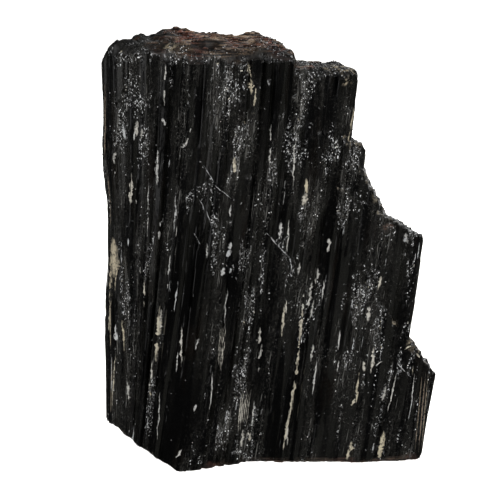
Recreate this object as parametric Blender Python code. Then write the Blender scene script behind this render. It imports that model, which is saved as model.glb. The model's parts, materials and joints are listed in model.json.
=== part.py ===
"""A broken piece of black tourmaline (schorl): ribbed columns grown together as one crystal.

Metres, +Z up. The origin is on the flat break that the piece stands on, at the centre of its
bounding box. The broad front looks along -Y, and the piece steps down towards +X.

Every column is drawn upright. Once they are joined, the whole piece is leaned, so that its
ribs are plumb at the top and swing towards -X lower down.
"""

import math
import random

import bmesh
import bpy
from mathutils import Vector, noise

MM = 0.001

HEIGHT = 114 * MM  # where the ribs start to lean, at the top
LEAN = 13 * MM  # how far the foot of a rib swings towards -X
LEAN_POWER = 1.3
LEAN_FROM = -44.5 * MM  # left of this nothing leans
LEAN_TO = -15 * MM  # right of this the lean is full

RIB_WIDTHS = (2.2 * MM, 5.2 * MM)
RIB_RELIEF = (-0.05 * MM, 0.85 * MM)
RIB_TILT = 0.26 * MM
GROOVE_RELIEF = (-0.7 * MM, 0.4 * MM, 0.15 * MM)  # deepest, shallowest and most usual
SHOULDER = 0.2  # share of a rib's width that climbs out of the groove
RIB_WANDER = 0.4 * MM  # how much a rib's relief changes along it
RIB_FADE = 17 * MM  # length over which it changes
CORNER_SOFTNESS = 2.2 * MM
LEVEL_STEP = 13 * MM

CENTRING = Vector((-0.84 * MM, 0.02 * MM, 0))  # brings the bounding box over the origin

BURIED = 4 * MM  # the columns start this far under the base, and are cut off at z = 0
BREAK_STEP = 2.8 * MM  # grid of a broken end
BREAK_MARGIN = 4 * MM
HUMP_SIZE = 9 * MM
GRIT_SIZE = 3.4 * MM
RIM_DROP = 0.7  # how far a worn rim falls, as a share of its width

CALMING = 0.8  # how much of a rib's relief is gone in the middle of a calm patch
PATCH_STEEPNESS = 1.4  # how soon a patch reaches its full strength, inwards from its edge
SAME_SPOT = 1e-7  # points closer than this are one
SHORTEST_EDGE = 0.02 * MM

# Corners run anticlockwise from above, starting on the left. A break is a sloping surface
# through `top` at x = `at`, rising by `rise_x` and `rise_y` per metre, with a worn rim and
# knobs, each an (x, y, rise, radius) that stands up or dips.
COLUMNS = [
    {
        "corners": [(-43.8, 2), (-42.4, -6), (-34.8, -13.5), (-22, -18.6), (-9.6, -21), (-3, -17.6), (4, -14),
                    (7.8, -12.4), (8.2, 2), (5.6, 12), (-3, 18.6), (-16, 20.7), (-32, 19.6), (-41, 12.6)],
        "top": 113.4 * MM, "at": -18 * MM, "rise_x": -0.012, "rise_y": 0.006,
        "humps": 1.2 * MM, "grit": 1.0 * MM, "rim": 5.2 * MM, "seed": 11,
        "knobs": [(-26, 14, 1.6, 5), (-12, 17, -1.8, 7), (-15, -3, -2.6, 3.6), (-42, 0, -2.6, 6),
                  (8, 5, -3.4, 7), (-37, 9, -1.9, 8), (9, 0, -3, 4), (8, -9, -2.4, 5), (0, 12, 0.8, 5)],
    },
    {
        "corners": [(2, -12.4), (12, -11.8), (22, -11.6), (24.2, -9), (24.4, 2), (20.6, 8.2), (8, 11.6),
                    (0, 8)],
        "top": 106.7 * MM, "at": 12 * MM, "rise_x": -0.01, "rise_y": -0.02,
        "humps": 1.0 * MM, "grit": 0.8 * MM, "rim": 3.0 * MM, "seed": 23,
        "knobs": [(23.6, 0, -3.4, 5), (17, 6, -0.8, 4)],
    },
    {
        "corners": [(14, -12.1), (25, -11.9), (28.2, -9.6), (28.4, 0), (25, 5.4), (14, 8)],
        "top": 85.4 * MM, "at": 26 * MM, "rise_x": -0.4, "rise_y": -0.1,
        "humps": 1.6 * MM, "grit": 1.0 * MM, "rim": 1.6 * MM, "seed": 37,
        "knobs": [],
    },
    {
        "corners": [(16, -11.6), (33, -11.5), (36.6, -9.4), (36.8, 0), (32, 5.6), (16, 7.6)],
        "top": 76.5 * MM, "at": 29.5 * MM, "rise_x": -1.5, "rise_y": -0.12,
        "humps": 1.3 * MM, "grit": 0.8 * MM, "rim": 1.2 * MM, "seed": 41,
        "knobs": [],
    },
    {
        "corners": [(20, -11.9), (38, -11.8), (45, -11.4), (46.7, -9), (46.4, 0), (41.6, 5.8), (20, 8.6)],
        "top": 65.5 * MM, "at": 36.6 * MM, "rise_x": -0.6, "rise_y": -0.14,
        "humps": 1.0 * MM, "grit": 0.8 * MM, "rim": 0.8 * MM, "seed": 53,
        "knobs": [(45.6, -8, 0.6, 4)],
    },
    {
        "corners": [(28, -11.8), (46, -12), (52.8, -10.6), (55.1, -7), (54.8, -1), (49, 4.6), (28, 7.4)],
        "top": 34.0 * MM, "at": 45.4 * MM, "rise_x": -1.1, "rise_y": -0.1,
        "humps": 0.9 * MM, "grit": 0.7 * MM, "rim": 0.8 * MM, "seed": 67,
        "knobs": [],
    },
]

# Dents in the sides, as (x, z, half width, half height, depth) in mm on the upright piece.
DENTS = [
    (-44, 60, 9, 20, 1.0),
    (-3, 62, 3.4, 9, 1.0),
    (-19, 92, 6, 16, 0.7),
    (14, 74, 4, 15, 0.8),
    (32, 46, 4, 13, 0.9),
    (24, 20, 4, 17, 0.7),
    (-27, 41, 3.4, 15, 0.8),
]

# Where the ribs are almost flat, as (x, z, half width, half height) in mm.
CALM = [(-12, 14, 6.5, 24), (-5, 66, 3, 30), (17, 96, 6, 9), (38, 52, 5, 12)]

# Each chip at the foot is a flat break through three points; all above it stays.
FOOT_CHIPS = [
    [(-25.6, -18, 0), (-38.6, -11, 7.3), (-39.3, 20, 0)],
    [(-30, 15.4, 0), (14, 12.6, 0), (-8, 22, 3.0)],
    [(40.6, -16, 0), (40.2, 9, 0), (44, -4, 2.6)],
]

SCHORL_COLOUR = (0.0085, 0.0080, 0.0072, 1.0)
SCHORL_ROUGHNESS = 0.34


def clear_scene():
    for obj in list(bpy.data.objects):
        bpy.data.objects.remove(obj)


def smooth_step(share):
    share = min(max(share, 0.0), 1.0)
    return share * share * (3 - 2 * share)


def leaned(point):
    """Where a point of the upright piece ends up once its ribs lean."""
    reach = smooth_step((point.x - LEAN_FROM) / (LEAN_TO - LEAN_FROM))
    depth = max(0.0, 1 - point.z / HEIGHT)
    return Vector((point.x - LEAN * reach * depth**LEAN_POWER, point.y, point.z)) + CENTRING


class Outline:
    """A closed line round a column, measured by the distance walked along it."""

    def __init__(self, corners):
        self.corners = [Vector(corner) * MM for corner in corners]
        self.sides = [
            (end - start).length
            for start, end in zip(self.corners, self.corners[1:] + self.corners[:1])
        ]
        self.length = sum(self.sides)

    def sharp_point(self, walked):
        walked %= self.length
        for number, side in enumerate(self.sides):
            if walked <= side:
                break
            walked -= side
        start = self.corners[number]
        end = self.corners[(number + 1) % len(self.corners)]
        return start.lerp(end, min(walked / side, 1.0))

    def point(self, walked):
        """The line with its corners softened."""
        reach = (-1.0, -0.5, 0.0, 0.5, 1.0)
        spots = [self.sharp_point(walked + share * CORNER_SOFTNESS) for share in reach]
        return sum(spots, Vector((0, 0))) / len(spots)

    def outward(self, walked):
        ahead = self.point(walked + CORNER_SOFTNESS / 2) - self.point(walked - CORNER_SOFTNESS / 2)
        return Vector((ahead.y, -ahead.x)).normalized()

    def depth_inside(self, spot):
        """How far a spot lies inside the nearest side; negative outside."""
        found = math.inf
        for start, end in zip(self.corners, self.corners[1:] + self.corners[:1]):
            side = (end - start).normalized()
            found = min(found, side.cross(spot - start))
        return found


def rib_ring(outline, seed):
    """(distance walked, relief) round a column: a groove and two shoulders for each rib."""
    pick = random.Random(seed)
    widths = []
    while sum(widths) < outline.length:
        widths.append(pick.uniform(*RIB_WIDTHS))
    fit = outline.length / sum(widths)
    ring = []
    walked = 0.0
    for width in (width * fit for width in widths):
        relief = pick.uniform(*RIB_RELIEF)
        tilt = pick.uniform(-RIB_TILT, RIB_TILT)
        ring.append((walked, pick.triangular(*GROOVE_RELIEF)))
        ring.append((walked + SHOULDER * width, relief - tilt))
        ring.append((walked + (1 - SHOULDER) * width, relief + tilt))
        walked += width
    return ring


def nearness(x, z, patch):
    """1 in the middle of a patch given as (x, z, half width, half height), 0 outside it."""
    across = (x / MM - patch[0]) / patch[2]
    up = (z / MM - patch[1]) / patch[3]
    return smooth_step(PATCH_STEEPNESS * (1 - math.hypot(across, up)))


def side_relief(relief, x, z):
    """A rib's relief once it has been calmed and dented."""
    calm = max(nearness(x, z, patch) for patch in CALM)
    relief *= 1 - CALMING * calm
    return relief - sum(patch[4] * MM * nearness(x, z, patch) for patch in DENTS)


def column_body(column, outline):
    """A ribbed column from under the base to above its break, closed at both ends."""
    ring = rib_ring(outline, column["seed"])
    tall = column["top"] + BREAK_MARGIN + column_reach(column, outline)
    levels = math.ceil((tall + BURIED) / LEVEL_STEP)
    bm = bmesh.new()
    bmesh.ops.create_grid(bm, x_segments=len(ring), y_segments=levels, size=0.5)
    for vert in bm.verts:
        walked, relief = ring[round((vert.co.x + 0.5) * len(ring)) % len(ring)]
        height = (vert.co.y + 0.5) * (tall + BURIED) - BURIED
        spot = outline.point(walked)
        relief += RIB_WANDER * noise.noise(Vector((walked / RIB_WIDTHS[1], column["seed"], height / RIB_FADE)))
        spot += outline.outward(walked) * side_relief(relief, spot.x, height)
        vert.co = (spot.x, spot.y, height)
    bmesh.ops.remove_doubles(bm, verts=bm.verts, dist=SAME_SPOT)
    bmesh.ops.holes_fill(bm, edges=[edge for edge in bm.edges if edge.is_boundary])
    bmesh.ops.recalc_face_normals(bm, faces=bm.faces)
    return bm


def column_reach(column, outline):
    """The most that the column's break rises above its `top`."""
    xs = [corner.x for corner in outline.corners]
    ys = [corner.y for corner in outline.corners]
    along = max((x - column["at"]) * column["rise_x"] for x in (min(xs), max(xs)))
    across = max(y * column["rise_y"] for y in (min(ys), max(ys)))
    return max(0.0, along) + across


def break_height(column, outline, x, y):
    """Height of a column's broken end: a slope with humps and grit, worn down along its rim."""
    height = column["top"] + (x - column["at"]) * column["rise_x"] + y * column["rise_y"]
    place = Vector((x, y, column["seed"] * MM))
    height += column["humps"] * noise.noise(place / HUMP_SIZE)
    height += column["grit"] * noise.noise(place / GRIT_SIZE)
    for knob_x, knob_y, rise, radius in column["knobs"]:
        away = math.hypot(x / MM - knob_x, y / MM - knob_y) / radius
        height += rise * MM * math.exp(-away * away)
    rim = column["rim"]
    inside = min(max(outline.depth_inside(Vector((x, y))), 0.0), rim)
    return height - (rim - math.sqrt(rim * rim - (rim - inside) ** 2)) * RIM_DROP


def break_cutter(column, outline):
    """A closed block whose underside is the column's broken end."""
    xs = [corner.x for corner in outline.corners]
    ys = [corner.y for corner in outline.corners]
    low = Vector((min(xs) - BREAK_MARGIN, min(ys) - BREAK_MARGIN))
    size = Vector((max(xs) + BREAK_MARGIN, max(ys) + BREAK_MARGIN)) - low
    bm = bmesh.new()
    bmesh.ops.create_grid(
        bm, x_segments=round(size.x / BREAK_STEP), y_segments=round(size.y / BREAK_STEP), size=0.5
    )
    for vert in bm.verts:
        x = low.x + (vert.co.x + 0.5) * size.x
        y = low.y + (vert.co.y + 0.5) * size.y
        vert.co = (x, y, break_height(column, outline, x, y))
    lid = bmesh.ops.extrude_face_region(bm, geom=bm.faces[:])["geom"]
    ceiling = column["top"] + 3 * BREAK_MARGIN + column_reach(column, outline)
    for vert in (item for item in lid if isinstance(item, bmesh.types.BMVert)):
        vert.co.z = ceiling
    bmesh.ops.recalc_face_normals(bm, faces=bm.faces)
    return bm


def helper(name, bm):
    """An object that only takes part in a Boolean, in triangles so that every face is flat."""
    bmesh.ops.triangulate(bm, faces=bm.faces)
    mesh = bpy.data.meshes.new(name)
    bm.to_mesh(mesh)
    bm.free()
    obj = bpy.data.objects.new(name, mesh)
    bpy.context.scene.collection.objects.link(obj)
    obj.hide_render = True
    obj.display_type = "WIRE"
    return obj


def boolean(obj, other, operation):
    modifier = obj.modifiers.new(f"{operation.lower()} {other.name}", "BOOLEAN")
    modifier.operation = operation
    modifier.object = other


def joined_columns():
    """All the columns, each cut at its break, united in one bmesh."""
    bodies = []
    for number, column in enumerate(COLUMNS):
        outline = Outline(column["corners"])
        body = helper(f"column {number}", column_body(column, outline))
        boolean(body, helper(f"break {number}", break_cutter(column, outline)), "DIFFERENCE")
        bodies.append(body)
    for body in bodies[1:]:
        boolean(bodies[0], body, "UNION")
    graph = bpy.context.evaluated_depsgraph_get()
    united = bm_of(bodies[0].evaluated_get(graph))
    clear_scene()
    return united


def bm_of(evaluated):
    bm = bmesh.new()
    bm.from_mesh(evaluated.to_mesh())
    evaluated.to_mesh_clear()
    return bm


def cut_off_below(bm, spot, normal):
    """Removes what lies below a plane, and closes the cut with one flat face."""
    bmesh.ops.bisect_plane(
        bm, geom=bm.verts[:] + bm.edges[:] + bm.faces[:], plane_co=spot, plane_no=normal,
        dist=SAME_SPOT, clear_inner=True,
    )
    bmesh.ops.holes_fill(bm, edges=[edge for edge in bm.edges if edge.is_boundary])


def chip_foot(bm):
    cut_off_below(bm, Vector((0, 0, 0)), Vector((0, 0, 1)))
    for corners in FOOT_CHIPS:
        first, second, third = (Vector(corner) * MM for corner in corners)
        normal = (second - first).cross(third - first).normalized()
        cut_off_below(bm, first, normal if normal.z > 0 else -normal)


def schorl():
    material = bpy.data.materials.new("schorl")
    material.use_nodes = True
    shader = material.node_tree.nodes["Principled BSDF"]
    shader.inputs["Base Color"].default_value = SCHORL_COLOUR
    shader.inputs["Roughness"].default_value = SCHORL_ROUGHNESS
    shader.inputs["Metallic"].default_value = 0.0
    return material


def tourmaline_crystal():
    bm = joined_columns()
    for vert in bm.verts:
        vert.co = leaned(vert.co)
    chip_foot(bm)
    bmesh.ops.triangulate(bm, faces=bm.faces)
    bmesh.ops.dissolve_degenerate(bm, edges=bm.edges, dist=SHORTEST_EDGE)
    bmesh.ops.recalc_face_normals(bm, faces=bm.faces)
    mesh = bpy.data.meshes.new("tourmaline_crystal")
    bm.to_mesh(mesh)
    bm.free()
    mesh.materials.append(schorl())
    crystal = bpy.data.objects.new("tourmaline_crystal", mesh)
    bpy.context.scene.collection.objects.link(crystal)
    return crystal


clear_scene()
tourmaline_crystal()
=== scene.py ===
import json
import math
import random

import bmesh
import bpy
from mathutils import Euler, Matrix, Vector, noise
from mathutils.bvhtree import BVHTree

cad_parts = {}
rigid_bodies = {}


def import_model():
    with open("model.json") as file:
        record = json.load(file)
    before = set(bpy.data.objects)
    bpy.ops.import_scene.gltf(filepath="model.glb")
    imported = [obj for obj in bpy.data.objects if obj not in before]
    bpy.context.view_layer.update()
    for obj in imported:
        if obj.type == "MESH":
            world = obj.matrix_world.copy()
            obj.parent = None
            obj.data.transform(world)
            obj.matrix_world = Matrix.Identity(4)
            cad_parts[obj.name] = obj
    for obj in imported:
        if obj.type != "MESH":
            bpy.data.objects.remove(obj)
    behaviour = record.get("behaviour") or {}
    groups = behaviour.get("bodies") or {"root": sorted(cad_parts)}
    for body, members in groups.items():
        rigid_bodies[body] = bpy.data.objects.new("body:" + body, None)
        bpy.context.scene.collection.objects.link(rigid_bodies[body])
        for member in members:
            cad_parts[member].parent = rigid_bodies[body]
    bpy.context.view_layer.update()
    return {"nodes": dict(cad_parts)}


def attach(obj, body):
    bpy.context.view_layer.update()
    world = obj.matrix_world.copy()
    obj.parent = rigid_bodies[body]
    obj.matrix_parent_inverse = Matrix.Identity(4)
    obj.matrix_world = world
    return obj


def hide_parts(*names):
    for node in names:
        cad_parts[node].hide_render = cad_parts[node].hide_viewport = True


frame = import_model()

mm = 0.001
print("frame loaded:", sorted(frame["nodes"]))


# The stone: upright columns in mm, joined, then leaned, and cut off at the foot.
crystal = {
    "height": 114, "lean": 13, "leanPower": 1.3, "leanFrom": -44.5, "leanTo": -15,
    "centring": (-0.84, 0.02),
    "ribWidths": (2.2, 5.2), "ribRelief": (-0.05, 0.85), "ribTilt": 0.26,
    "grooveRelief": (-0.7, 0.4, 0.15),  # deepest, shallowest and most usual
    "shoulder": 0.2, "ribWander": 0.4, "ribFade": 17, "cornerSoftness": 2.2,
    "buried": 4, "breakMargin": 4,
    "humpSize": 9, "gritSize": 3.4,
    "acrossFront": 0.29, "acrossBack": 0.62, "along": 0.92,  # spacing of the mesh on the sides
    "breakStep": 0.5, "footStep": 0.8,
}

# Corners run anticlockwise from above. A break slopes through `top` at x = `at`, with a worn
# rim and knobs, each an (x, y, rise, radius).
columns = [
    {
        "corners": [(-43.8, 2), (-42.4, -6), (-34.8, -13.5), (-22, -18.6), (-9.6, -21), (-3, -17.6), (4, -14),
                    (7.8, -12.4), (8.2, 2), (5.6, 12), (-3, 18.6), (-16, 20.7), (-32, 19.6), (-41, 12.6)],
        "top": 113.4, "at": -18, "riseX": -0.012, "riseY": 0.006,
        "humps": 1.2, "grit": 1.0, "rim": 5.2, "seed": 11, "ragged": 0.8,
        "knobs": [(-26, 14, 1.6, 5), (-12, 17, -1.8, 7), (-15, -3, -2.6, 3.6), (-42, 0, -2.6, 6),
                  (8, 5, -3.4, 7), (-37, 9, -1.9, 8), (9, 0, -3, 4), (8, -9, -2.4, 5), (0, 12, 0.8, 5)],
    },
    {
        "corners": [(2, -12.4), (12, -11.8), (22, -11.6), (24.2, -9), (24.4, 2), (20.6, 8.2), (8, 11.6),
                    (0, 8)],
        "top": 106.7, "at": 12, "riseX": -0.01, "riseY": -0.02,
        "humps": 0.6, "grit": 0.6, "rim": 3.0, "seed": 23, "ragged": 0.35,
        "knobs": [(23.6, 0, -3.4, 5), (17, 6, -0.8, 4)],
    },
    {
        "corners": [(14, -12.1), (25, -11.9), (28.2, -9.6), (28.4, 0), (25, 5.4), (14, 8)],
        "top": 85.4, "at": 26, "riseX": -0.4, "riseY": -0.1,
        "humps": 1.6, "grit": 1.0, "rim": 1.6, "seed": 37, "ragged": 1.0,
        "knobs": [],
    },
    {
        "corners": [(16, -11.6), (33, -11.5), (36.6, -9.4), (36.8, 0), (32, 5.6), (16, 7.6)],
        "top": 76.5, "at": 29.5, "riseX": -1.5, "riseY": -0.12,
        "humps": 1.3, "grit": 0.8, "rim": 1.2, "seed": 41, "ragged": 0.7,
        "knobs": [],
    },
    {
        "corners": [(20, -11.9), (38, -11.8), (45, -11.4), (46.7, -9), (46.4, 0), (41.6, 5.8), (20, 8.6)],
        "top": 65.5, "at": 36.6, "riseX": -0.6, "riseY": -0.14,
        "humps": 1.0, "grit": 0.8, "rim": 0.8, "seed": 53, "ragged": 0.6,
        "knobs": [(45.6, -8, 0.6, 4)],
    },
    {
        "corners": [(28, -11.8), (46, -12), (52.8, -10.6), (55.1, -7), (54.8, -1), (49, 4.6), (28, 7.4)],
        "top": 34, "at": 45.4, "riseX": -1.1, "riseY": -0.1,
        "humps": 0.9, "grit": 0.7, "rim": 0.8, "seed": 67, "ragged": 0.7,
        "knobs": [],
    },
]

# (x, z, half width, half height, depth) on the upright stone
dents = [
    (-44, 60, 9, 20, 1.0), (-3, 62, 3.4, 9, 1.0), (-19, 92, 6, 16, 0.7), (14, 74, 4, 15, 0.8),
    (32, 46, 4, 13, 0.9), (24, 20, 4, 17, 0.7), (-27, 41, 3.4, 15, 0.8),
]
# (x, z, half width, half height) where the ribs are almost flat and clean
calmPatches = [(-12, 14, 6.5, 24), (-5, 66, 3, 30), (17, 96, 6, 9), (38, 52, 5, 12)]
# each chip at the foot: three points of its break
footChips = [
    [(-25.6, -18, 0), (-38.6, -11, 7.3), (-39.3, 20, 0)],
    [(-30, 15.4, 0), (14, 12.6, 0), (-8, 22, 3.0)],
    [(40.6, -16, 0), (40.2, 9, 0), (44, -4, 2.6)],
]
# what the fine mesh adds to the ribs, in mm
weathering = {
    "striaWidth": 0.75, "striaLength": 46, "striaDepth": 0.11,
    "hairWidth": 0.38, "hairDepth": 0.035,
    "flakeLength": (9, 34), "flakeDepth": 0.34, "flakeShare": 0.42, "grooveFloor": -0.5,
    "laneWidth": 1.15, "laneLength": 11, "laneDepth": 0.2,
    "bandWidth": 4.6, "bandLength": 30, "pitSize": 0.8, "pitDepth": 0.5,
    "splinterSize": 1.5, "splinterDepth": 0.6, "terrace": 0.75, "ridge": 1.1,
    "grainsPerArea": 1.3,
}
# (x, z, half width, half height) where the side is broken and glitters most
grainPatches = [
    (-6, 65, 3, 5), (-1, 58, 2.5, 9), (-5, 55, 2.6, 6), (3, 43, 2.6, 9), (25, 85, 3, 4), (43, 62, 3.4, 3.4),
    (44, 55, 2.4, 5), (34, 49, 3.6, 6), (37, 37, 3, 8), (24, 69, 3, 7), (13, 68, 2.4, 4), (12, 55, 3.6, 6),
    (8, 61, 2.6, 4), (-34, 100, 5, 8), (-9, 102, 3.4, 9), (-5, 87, 3.4, 10), (-28, 58, 2, 9), (-35, 44, 3.6, 5),
    (-25, 36, 2.4, 6), (-22, 19, 2, 15), (2, 26, 3.4, 11), (0, 8, 3, 8), (5, 3, 3, 3), (-5, 4, 3, 2),
    (17, 37, 2.6, 7), (20, 45, 2.4, 8), (30, 41, 3, 5), (31, 30, 2.4, 5), (35, 22, 2.6, 7), (44, 27, 2.6, 6),
    (45, 37, 3.6, 3), (8, 88, 3, 10), (11, 85, 3, 7), (19, 85, 2.4, 10), (13, 106, 5, 3), (21, 105, 3, 3),
    (-20, 111, 11, 3), (-35, 110, 8, 3), (-6, 110, 6, 3), (48, 7.3, 1.6, 2.2), (42, 16, 2, 9), (-13, 77, 3.6, 5), (-9, 60, 3, 12), (4, 79, 2.6, 5), (8, 12, 2, 8),
    (-17, 73, 3, 5), (-38, 90, 3, 8), (-32, 86, 2.6, 10),
]
# (x, z, half width, half height) where painted shade darkens the black glass: it is glossier there, its patterns and
# pale grains fade, and the side is less broken
paintedShadePatches = [(-14, 20, 9, 28), (-15, 50, 8, 27), (29, 37, 2.2, 10), (26, 17, 3, 13)]

# hollows in the broken top, with painted shade inside them: (x, y, radius, depth)
topHollows = [(-15.3, -14.6, 2.1, 2.3), (-21.5, -6, 0.9, 0.8), (-3, -9, 0.9, 0.8)]
# beige crust on the broken tops: (x, y, half width, half depth)
topCrusts = [(-24.9, -15.4, 2.4, 2), (19, -7.5, 6, 5), (21.6, -9, 3.2, 4)]
# beige crust and rust on the sides and ledges: (x, z, half width, half height)
sideCrusts = [(21.4, 103.4, 1.8, 1.4), (29.8, 78, 1, 2.4), (32.2, 74, 1.2, 3), (34.4, 69.8, 1, 2), (47.8, 33, 2.4, 2.6)]
sideRusts = [(36.3, 64.6, 1.8, 1.2)]


def smoothStep(share):
    share = min(max(share, 0.0), 1.0)
    return share * share * (3 - 2 * share)


def leanAt(x, z):
    reach = smoothStep((x - crystal["leanFrom"]) / (crystal["leanTo"] - crystal["leanFrom"]))
    return crystal["lean"] * reach * max(0.0, 1 - z / crystal["height"]) ** crystal["leanPower"]


def leaned(spot):
    shiftX, shiftY = crystal["centring"]
    return Vector((spot.x - leanAt(spot.x, spot.z) + shiftX, spot.y + shiftY, spot.z))


def upright(spot):
    # the other way round: where a place on the finished stone was before it leaned
    shiftX, shiftY = crystal["centring"]
    x = spot.x - shiftX
    for _ in range(6):
        x = spot.x - shiftX + leanAt(x, spot.z)
    return Vector((x, spot.y - shiftY, spot.z))


class Outline:
    def __init__(self, corners):
        self.corners = [Vector(corner) for corner in corners]
        self.ends = self.corners[1:] + self.corners[:1]
        self.sides = [(end - start).length for start, end in zip(self.corners, self.ends)]
        self.length = sum(self.sides)

    def sharpPoint(self, walked):
        walked %= self.length
        for number, side in enumerate(self.sides):
            if walked <= side:
                break
            walked -= side
        return self.corners[number].lerp(self.ends[number], min(walked / side, 1.0))

    def point(self, walked):
        soft = crystal["cornerSoftness"]
        spots = [self.sharpPoint(walked + share * soft) for share in (-1.0, -0.5, 0.0, 0.5, 1.0)]
        return sum(spots, Vector((0, 0))) / len(spots)

    def outward(self, walked):
        half = crystal["cornerSoftness"] / 2
        ahead = self.point(walked + half) - self.point(walked - half)
        return Vector((ahead.y, -ahead.x)).normalized()

    def depthInside(self, spot):
        found = math.inf
        for start, end in zip(self.corners, self.ends):
            found = min(found, (end - start).normalized().cross(spot - start))
        return found


def ribRing(outline, seed):
    # (distance walked, relief, rib number): a groove and two shoulders for each rib
    pick = random.Random(seed)
    widths = []
    while sum(widths) < outline.length:
        widths.append(pick.uniform(*crystal["ribWidths"]))
    fit = outline.length / sum(widths)
    ring = []
    walked = 0.0
    for number, width in enumerate(width * fit for width in widths):
        relief = pick.uniform(*crystal["ribRelief"])
        tilt = pick.uniform(-crystal["ribTilt"], crystal["ribTilt"])
        ring.append((walked, pick.triangular(*crystal["grooveRelief"]), number))
        ring.append((walked + crystal["shoulder"] * width, relief - tilt, number))
        ring.append((walked + (1 - crystal["shoulder"]) * width, relief + tilt, number))
        walked += width
    ring.append((outline.length, ring[0][1], 0))
    return ring


def fineRing(outline, seed):
    # the same ribs at the fine mesh's spacing: (distance walked, relief, rib, place, outward)
    ring = []
    coarse = ribRing(outline, seed)
    for (start, low, rib), (end, high, _) in zip(coarse, coarse[1:]):
        facing = outline.outward((start + end) / 2)
        step = crystal["acrossFront"] if facing.y < 0.2 else crystal["acrossBack"]
        count = max(1, round((end - start) / step))
        for part in range(count):
            share = part / count
            walked = start + (end - start) * share
            ring.append((walked, low + (high - low) * share, rib, outline.point(walked), outline.outward(walked)))
    return ring


def nearness(x, z, patch):
    if abs(x - patch[0]) > patch[2]:
        return 0.0
    reach = 1 - math.hypot((x - patch[0]) / patch[2], (z - patch[1]) / patch[3])
    return smoothStep(1.4 * reach) if reach > 0 else 0.0


def calmAt(x, z):
    return max(nearness(x, z, patch) for patch in calmPatches)


def bareGlassAndShadeAt(x, y, z):
    # how bare and whole the black glass is here, at random, and painted shade in the listed shade patches
    patch = max(nearness(x, z, patch) for patch in paintedShadePatches) if y < 0 else 0.0
    return max(patch, 0.5 * smoothStep(2.6 * noise.noise(Vector((x / 6, y / 6 + 20, z / 24))) - 0.2))


def grainAt(x, y, z):
    # how broken and glittering the side is here, in bands along the ribs
    wide, long = weathering["bandWidth"], weathering["bandLength"]
    band = 0.5 * noise.noise(Vector((x / wide, y / wide, z / long)))
    band += 0.4 * noise.noise(Vector((x / wide * 2.6, y / wide * 2.6 + 9, z / long * 3)))
    band += 0.5 * noise.noise(Vector((x / 0.8, y / 0.8, z / 6)))
    if y < 0:
        sideways = x + 1.6 * noise.noise(Vector((x / 2.2, 4, z / 6)))
        along = z + 5 * noise.noise(Vector((x / 1.2, 9, z / 12)))
        band += 0.7 * max(nearness(sideways, along, patch) for patch in grainPatches) - 0.6 * bareGlassAndShadeAt(x, y, z)
    return smoothStep((band - 0.12) / 0.8) * (1 - 0.9 * calmAt(x, z))


def flakeAt(rib, walked, z, seed):
    # 1 where the outer skin of a rib has flaked off, with a ragged end
    pick = random.Random(f"{seed} {rib}")
    length = pick.uniform(*weathering["flakeLength"])
    start = pick.uniform(0, length)
    ragged = z + 1.6 * noise.noise(Vector((walked / 0.7, seed, z / 5)))
    cell = math.floor((ragged + start) / length)
    return 1.0 if random.Random(f"{seed} {rib} {cell}").random() < weathering["flakeShare"] else 0.0


def sideRelief(relief, rib, walked, spot, z, seed):
    place = Vector((walked / crystal["ribWidths"][1], seed, z / crystal["ribFade"]))
    relief += crystal["ribWander"] * noise.noise(place)
    calm = calmAt(spot.x, z)
    relief *= 1 - 0.8 * calm
    hollow = sum(patch[4] * nearness(spot.x, z, patch) for patch in dents)
    grain = grainAt(spot.x, spot.y, z)
    rough = 1 - 0.85 * calm
    stria = noise.noise(Vector((walked / weathering["striaWidth"], seed + 5, z / weathering["striaLength"])))
    hair = noise.noise(Vector((walked / weathering["hairWidth"], seed + 8, z / weathering["striaLength"])))
    relief += rough * (weathering["striaDepth"] * stria + weathering["hairDepth"] * hair)
    relief -= rough * weathering["flakeDepth"] * flakeAt(rib, walked, z, seed)
    bend = noise.noise(Vector((walked / 2.5, seed + 1, z / 14)))
    lane = Vector((walked / weathering["laneWidth"] + 0.6 * bend, seed + 2, z / weathering["laneLength"] + 0.35 * bend))
    relief -= rough * weathering["laneDepth"] * noise.cell(lane)
    if grain > 0:
        size = weathering["pitSize"]
        pit = noise.noise(Vector((spot.x / size, spot.y / size, z / size / 1.5)))
        crumb = noise.cell(Vector((spot.x / size * 1.7, spot.y / size * 1.7, z / size)))
        relief -= grain * weathering["pitDepth"] * (0.5 * max(0.0, pit + 0.15) + 0.35 * crumb)
    floor = weathering["grooveFloor"]
    if relief < floor:
        relief = floor + 0.2 * (relief - floor)  # crumbs fill a deep groove
    return relief - hollow


def columnReach(column):
    # the most that the column's break rises above its `top`
    xs = [corner[0] for corner in column["corners"]]
    ys = [corner[1] for corner in column["corners"]]
    along = max((x - column["at"]) * column["riseX"] for x in (min(xs), max(xs)))
    across = max(y * column["riseY"] for y in (min(ys), max(ys)))
    return max(0.0, along) + across


def columnBody(column, outline):
    ring = fineRing(outline, column["seed"])
    tall = column["top"] + crystal["breakMargin"] + columnReach(column) + crystal["buried"]
    levels = math.ceil(tall / crystal["along"])
    bm = bmesh.new()
    bmesh.ops.create_grid(bm, x_segments=len(ring), y_segments=levels, size=0.5)
    for vert in bm.verts:
        walked, relief, rib, spot, outward = ring[round((vert.co.x + 0.5) * len(ring)) % len(ring)]
        z = (vert.co.y + 0.5) * tall - crystal["buried"]
        spot = spot + outward * sideRelief(relief, rib, walked, spot, z, column["seed"])
        vert.co = (spot.x, spot.y, z)
    bmesh.ops.remove_doubles(bm, verts=bm.verts, dist=1e-4)
    bmesh.ops.holes_fill(bm, edges=[edge for edge in bm.edges if edge.is_boundary])
    bmesh.ops.recalc_face_normals(bm, faces=bm.faces)
    return bm


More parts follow.
